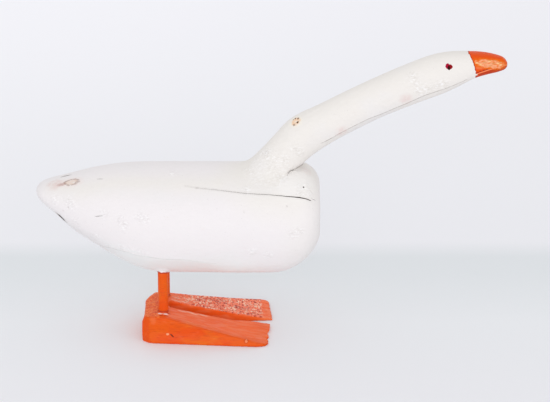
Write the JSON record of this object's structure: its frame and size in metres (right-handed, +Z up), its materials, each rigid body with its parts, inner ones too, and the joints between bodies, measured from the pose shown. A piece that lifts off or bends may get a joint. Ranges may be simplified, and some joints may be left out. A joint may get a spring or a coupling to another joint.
{
  "type": "carved goose decoy",
  "caption": "Carved and painted wooden goose with its neck stretched low and forward, on dowel legs and a wedge-shaped foot board.",
  "frame": {"origin": "on the ground under the foot board, midway between the two legs", "axes": "+X forward towards the beak, +Y to the goose's left, +Z up"},
  "size_m": [0.6066, 0.1616, 0.3803],
  "materials": {
    "white_paint": "old matte white paint on carved wood, with filler, knots showing through and a drying crack",
    "orange_paint": "orange paint on wood, half gloss, worn on the top of the feet"
  },
  "bodies": {
    "root": {"body": "white_paint", "neck_and_head": "white_paint", "leg_right": "orange_paint", "leg_left": "orange_paint", "feet": "orange_paint"}
  },
  "joints": []
}
